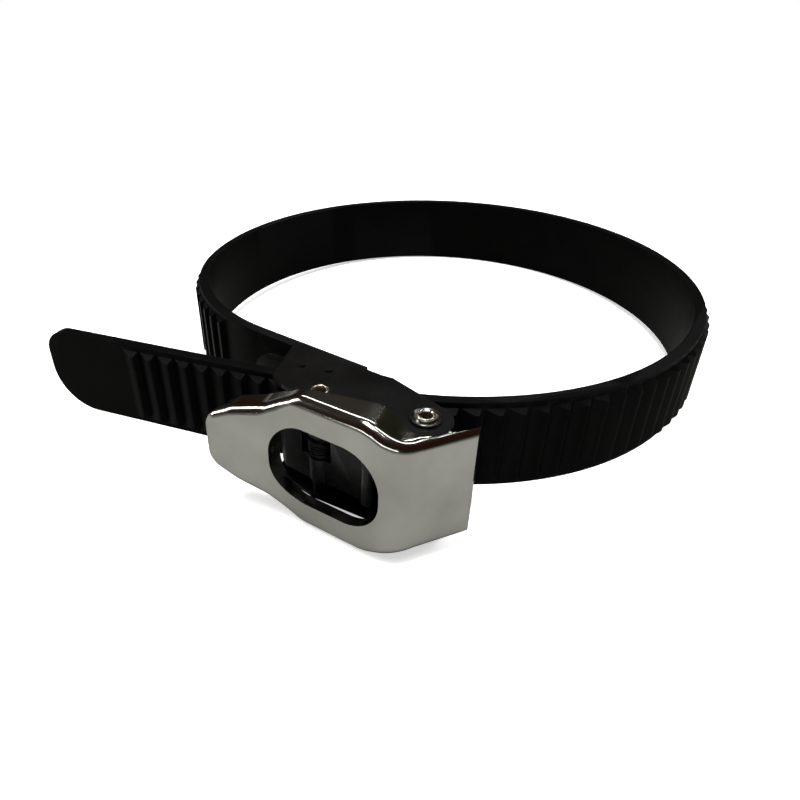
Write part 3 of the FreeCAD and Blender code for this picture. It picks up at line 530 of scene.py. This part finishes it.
# The broad wash gives most of the light. The others are what the chrome, the enamel and the rivets show.
PANELS = (
    Panel("overhead_wash", (0, 0, 1500), (1600, 1600), 30.0, mirrored=False),
    Panel("back_strip", (-250, 700, 1000), (900, 50), 2.6),
    Panel("left_strip", (-900, -250, 480), (160, 700), 3.0, aim=(0, -40, 0)),
    Panel("top_panel", (-60, -120, 1300), (520, 300), 9.0, aim=(0, -60, 0)),
    Panel("crest_strip", (500, 300, 900), (60, 800), 1.2),
    Panel("front_strip", (-100, -1100, 330), (1500, 34), 1.5, aim=(0, -90, 0)),
)


@dataclass
class Studio:
    """Camera, lights and floor.

    The floor and the surroundings are white to the camera only. Every other ray meets a greyer floor, a
    grey horizon and above it a dark room with dull red and olive patches: that is what chrome mirrors.
    """

    camera_place: Point = (45.4, -209.7, 98.0)
    camera_forward: Point = (-0.2934, 0.7847, -0.5461)
    lens_mm: float = 29.54
    sensor_mm: float = 36.0
    shift: float = 0.0614
    clip_m: float = 0.005
    floor_half: float = 0.9
    floor_gap_mm: float = 0.15
    paper: str = "fafafa"
    paper_roughness: float = 0.9
    paper_shine: float = 0.1
    paper_in_mirror: str = "8c8c88"
    paper_glow: float = 0.55
    horizon: str = "7c7c78"
    room_red: str = "2c100c"
    room_olive: str = "1d1c0e"
    horizon_height: float = 0.03
    room_height: float = 0.2
    room_patches: float = 1.7
    room_band: tuple[float, float] = (0.38, 0.6)
    white: str = "ffffff"

    def build(self) -> None:
        """Make the whole studio."""
        self.camera()
        for panel in PANELS:
            self.light(panel)
        self.surroundings()
        self.floor()

    def camera(self) -> None:
        """Place the camera and make it the scene's own."""
        data = bpy.data.cameras.new("camera")
        data.lens = self.lens_mm
        data.sensor_width = self.sensor_mm
        data.shift_x = self.shift
        data.clip_start = self.clip_m
        item = bpy.data.objects.new("camera", data)
        item.location = Vector(self.camera_place) * MM
        item.rotation_euler = Vector(self.camera_forward).to_track_quat("-Z", "Y").to_euler()
        bpy.context.scene.collection.objects.link(item)
        bpy.context.scene.camera = item

    def light(self, panel: Panel) -> None:
        """Add one panel light.

        Args:
            panel: the panel.
        """
        data = bpy.data.lights.new(panel.name, "AREA")
        data.shape = "RECTANGLE"
        data.size = panel.size[0] * MM
        data.size_y = panel.size[1] * MM
        data.energy = panel.power
        item = bpy.data.objects.new(panel.name, data)
        item.location = Vector(panel.place) * MM
        item.rotation_euler = (Vector(panel.aim) - Vector(panel.place)).to_track_quat("-Z", "Y").to_euler()
        item.visible_glossy = panel.mirrored
        bpy.context.scene.collection.objects.link(item)

    def surroundings(self) -> None:
        """Build the world: white to the camera, a horizon and a dark room to every other ray."""
        world = bpy.data.worlds.new("studio")
        world.use_nodes = True
        tree = world.node_tree
        way = add_node(tree, "ShaderNodeTexCoord").outputs["Generated"]
        height = add_node(tree, "ShaderNodeSeparateXYZ", {}, {"Vector": way}).outputs["Z"]
        clutter = add_node(tree, "ShaderNodeTexNoise", {"Scale": self.room_patches, "Detail": 1.0},
                           {"Vector": way})
        room = add_node(tree, "ShaderNodeValToRGB", {}, {"Fac": clutter.outputs["Fac"]})
        room.color_ramp.elements[0].color = linear(self.room_red)
        room.color_ramp.elements[1].color = linear(self.room_olive)
        spread(room, *self.room_band)
        climb = add_node(tree, "ShaderNodeValToRGB", {}, {"Fac": height})
        spread(climb, self.horizon_height, self.room_height)
        sky = add_node(tree, "ShaderNodeMix", {"data_type": "RGBA"},
                       {MIX_FACTOR: climb.outputs["Color"], MIX_SECOND: room.outputs["Color"]})
        sky.inputs[MIX_FIRST].default_value = linear(self.horizon)
        seen = add_node(tree, "ShaderNodeLightPath").outputs["Is Camera Ray"]
        shown = add_node(tree, "ShaderNodeMix", {"data_type": "RGBA"},
                         {MIX_FACTOR: seen, MIX_FIRST: sky.outputs[MIX_OUT]})
        shown.inputs[MIX_SECOND].default_value = linear(self.white)
        tree.links.new(shown.outputs[MIX_OUT], tree.nodes["Background"].inputs["Color"])
        bpy.context.scene.world = world
        bpy.context.scene.view_settings.view_transform = "Standard"

    def floor(self) -> None:
        """Lay the pale floor, a hair under the strap's far edge and the lever's lower edge."""
        strap_low, strap_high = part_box("ladder_strap")
        lever_low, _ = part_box("lever")
        slope = (strap_low.z - lever_low.z) / (strap_high.y - lever_low.y)
        gap = self.floor_gap_mm * MM
        shape = bmesh.new()
        bmesh.ops.create_grid(shape, x_segments=1, y_segments=1, size=self.floor_half)
        for vertex in shape.verts:
            vertex.co.z = lever_low.z - gap + (vertex.co.y - lever_low.y) * slope
        mesh = bpy.data.meshes.new("floor")
        shape.to_mesh(mesh)
        shape.free()
        item = bpy.data.objects.new("floor", mesh)
        bpy.context.scene.collection.objects.link(item)
        paper = bpy.data.materials.new("white_paper")
        paper.use_nodes = True
        shader = paper.node_tree.nodes["Principled BSDF"]
        shader.inputs["Roughness"].default_value = self.paper_roughness
        shader.inputs["Specular IOR Level"].default_value = self.paper_shine
        seen = add_node(paper.node_tree, "ShaderNodeLightPath").outputs["Is Camera Ray"]
        tone = add_node(paper.node_tree, "ShaderNodeMix", {"data_type": "RGBA"}, {MIX_FACTOR: seen})
        tone.inputs[MIX_FIRST].default_value = linear(self.paper_in_mirror)
        tone.inputs[MIX_SECOND].default_value = linear(self.paper)
        glow = add_node(paper.node_tree, "ShaderNodeMath", {"operation": "MULTIPLY"}, {0: seen})
        glow.inputs[1].default_value = self.paper_glow
        shader.inputs["Emission Color"].default_value = linear(self.white)
        paper.node_tree.links.new(glow.outputs[0], shader.inputs["Emission Strength"])
        paper.node_tree.links.new(tone.outputs[MIX_OUT], shader.inputs["Base Color"])
        mesh.materials.append(paper)


def main() -> None:
    """Dress the object and build its studio."""
    logging.basicConfig(level=logging.INFO, format="%(name)s: %(message)s")
    wardrobe = Wardrobe()
    wardrobe.dress_nodes()
    SoftEdges(wardrobe).build()
    Turnings(wardrobe).build()
    Studio().build()


if __name__ == "__main__":
    main()
